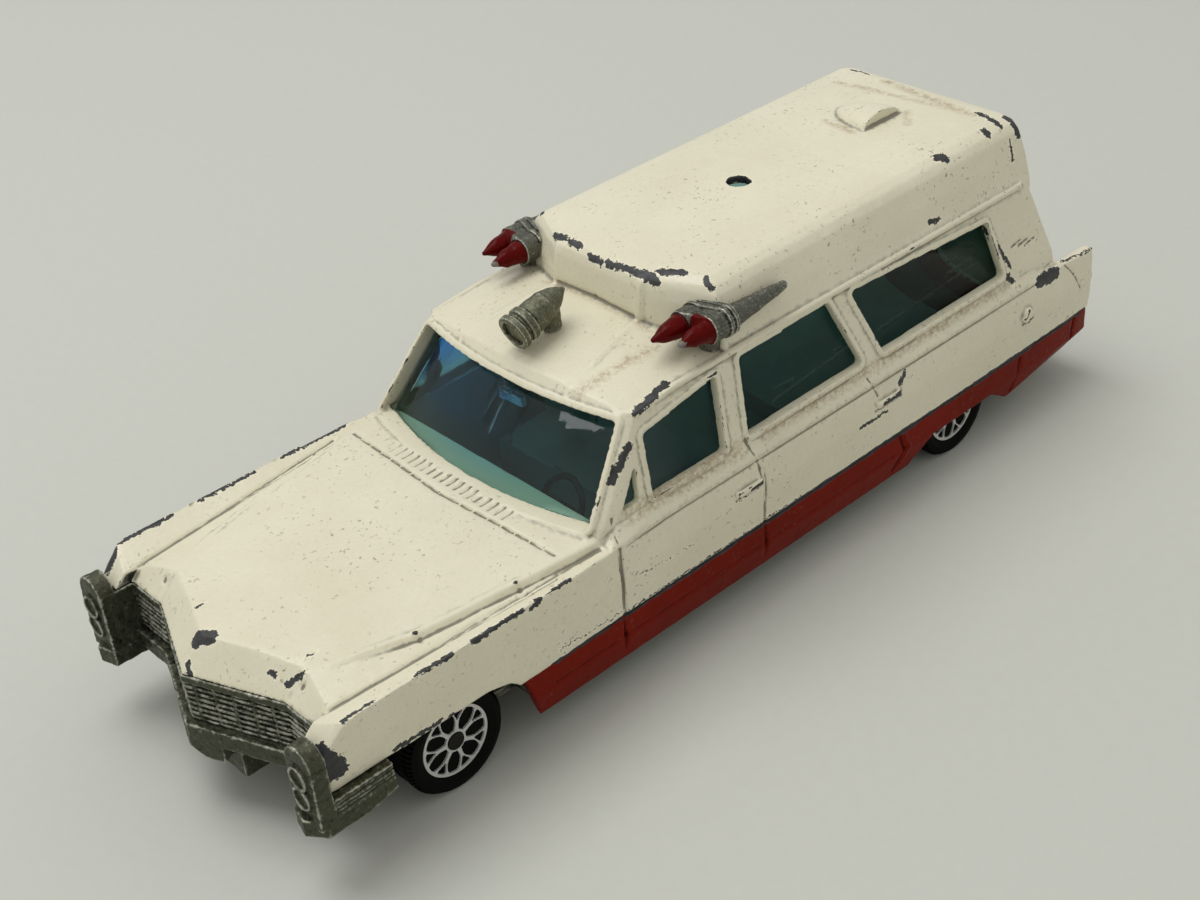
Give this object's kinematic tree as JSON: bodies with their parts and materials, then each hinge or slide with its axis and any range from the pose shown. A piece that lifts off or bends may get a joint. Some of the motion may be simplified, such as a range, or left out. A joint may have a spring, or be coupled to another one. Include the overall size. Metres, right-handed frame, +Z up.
{
  "type": "toy ambulance",
  "caption": "Long die-cast toy ambulance with a raised roof, free-rolling wheels, a hinged rear door, roof siren and twin flashers.",
  "frame": {"origin": "on the ground under the middle of the body", "axes": "+X to the front, +Y to the vehicle's left, +Z up"},
  "size_m": [0.154, 0.0508, 0.0492],
  "materials": {
    "white_enamel": "worn gloss enamel",
    "red_enamel": "worn gloss enamel",
    "bare_zinc": "dull cast metal",
    "flasher_zinc": "dull cast metal with red painted tips",
    "tinted_glazing": "clear tinted plastic",
    "interior_plastic": "satin",
    "dark_plastic": "satin",
    "steel": "drawn wire",
    "black_plastic": "satin with a silver printed disc"
  },
  "bodies": {
    "car": {"body_shell": "white_enamel", "lower_body": "red_enamel", "base_plate": "bare_zinc", "grille_bumper": "bare_zinc", "rear_bumper": "bare_zinc", "glazing": "tinted_glazing", "interior_tub": "interior_plastic", "steering_wheel": "dark_plastic", "hinge_pins": "steel", "front_axle": "steel", "rear_axle": "steel", "flasher_left": "flasher_zinc", "flasher_right": "flasher_zinc", "siren": "bare_zinc"},
    "rear_door": {"rear_door": "white_enamel", "rear_door_window": "tinted_glazing"},
    "wheel_front_left": {"wheel_front_left": "black_plastic"},
    "wheel_front_right": {"wheel_front_right": "black_plastic"},
    "wheel_rear_left": {"wheel_rear_left": "black_plastic"},
    "wheel_rear_right": {"wheel_rear_right": "black_plastic"}
  },
  "joints": [
    {"name": "rear_door_hinge", "type": "hinge", "parent": "car", "child": "rear_door", "pos_m": [-0.0695, 0.01632, 0.02437], "axis": [-0.3067, 0, -0.9518], "range_deg": [0, 95]},
    {"name": "wheel_front_left_axle", "type": "hinge", "parent": "car", "child": "wheel_front_left", "pos_m": [0.0531, 0.0199, 0.0075], "axis": [0, 1, 0], "continuous": true},
    {"name": "wheel_front_right_axle", "type": "hinge", "parent": "car", "child": "wheel_front_right", "pos_m": [0.0531, -0.0199, 0.0075], "axis": [0, 1, 0], "continuous": true},
    {"name": "wheel_rear_left_axle", "type": "hinge", "parent": "car", "child": "wheel_rear_left", "pos_m": [-0.0446, 0.0199, 0.0075], "axis": [0, 1, 0], "continuous": true},
    {"name": "wheel_rear_right_axle", "type": "hinge", "parent": "car", "child": "wheel_rear_right", "pos_m": [-0.0446, -0.0199, 0.0075], "axis": [0, 1, 0], "continuous": true}
  ]
}
